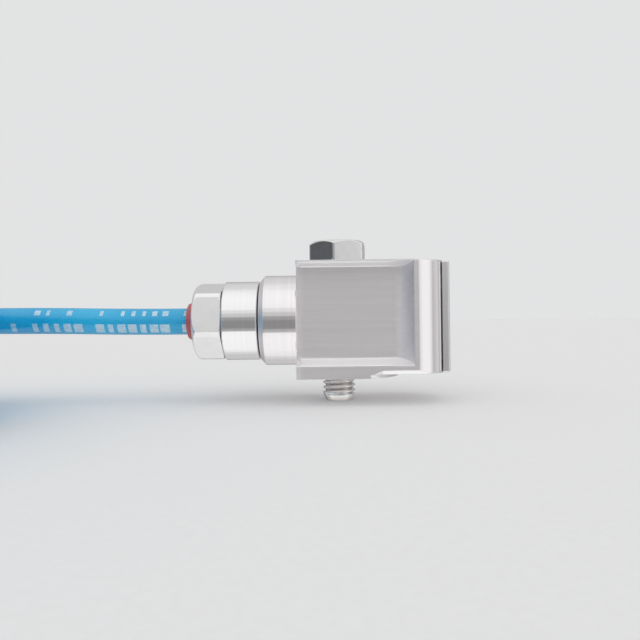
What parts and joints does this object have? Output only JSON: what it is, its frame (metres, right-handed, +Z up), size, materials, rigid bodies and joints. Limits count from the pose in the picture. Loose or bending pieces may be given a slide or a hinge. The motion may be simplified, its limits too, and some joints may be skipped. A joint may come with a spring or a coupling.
{
  "type": "vibration sensor",
  "caption": "Stainless steel machine vibration sensor, bolted on through its block, with a cable gland and a fixed blue cable whose spare length is coiled.",
  "frame": {"origin": "on the bolt's axis, in the plane of the mounting pad", "axes": "+X along the cable's axis, away from the cable; +Y to the back; +Z up along the bolt, away from the machine"},
  "size_m": [0.1836, 0.0964, 0.0421],
  "materials": {
    "milled_steel": "milled and lightly brushed stainless steel",
    "turned_steel": "fine turned stainless steel",
    "bolt_steel": "cold-formed stainless bolt",
    "red_rubber": "matt red seal rubber",
    "black_rubber": "black seal rubber",
    "white_plastic": "natural polyamide",
    "black_plastic": "black polyamide tie",
    "brass": "plain brass",
    "blue_sheath": "blue polyurethane cable sheath with white printed marks",
    "board_green": "green solder mask",
    "chip_black": "black moulded package",
    "capacitor_yellow": "yellow moulded package",
    "potting_resin": "dark cast resin",
    "tinned_copper": "tinned copper crimp",
    "core_brown": "brown core insulation",
    "core_white": "white core insulation",
    "core_blue": "blue core insulation",
    "core_black": "black core insulation"
  },
  "bodies": {
    "root": {"housing": "milled_steel", "end_cover": "milled_steel", "mounting_bolt": "bolt_steel", "gland_sleeve": "turned_steel", "gland_nut": "turned_steel", "gland_washer": "brass", "gland_seal": "red_rubber", "gland_claw": "white_plastic", "sealing_ring": "black_rubber", "shield_ferrule": "brass", "cable_stub": "blue_sheath", "core_1": "core_brown", "core_2": "core_white", "core_3": "core_blue", "core_4": "core_black", "circuit_board": "board_green", "accelerometer": "chip_black", "amplifier": "chip_black", "regulator": "chip_black", "capacitor_1": "capacitor_yellow", "capacitor_2": "capacitor_yellow", "potting": "potting_resin", "cable_lead": "blue_sheath", "cable_coil": "blue_sheath", "coil_tie_1": "black_plastic", "coil_tie_2": "black_plastic", "end_sleeve": "black_rubber", "end_core_1": "core_brown", "end_core_2": "core_white", "end_core_3": "core_blue", "end_core_4": "core_black", "end_crimp_1": "tinned_copper", "end_crimp_2": "tinned_copper", "end_crimp_3": "tinned_copper", "end_crimp_4": "tinned_copper"}
  },
  "joints": []
}
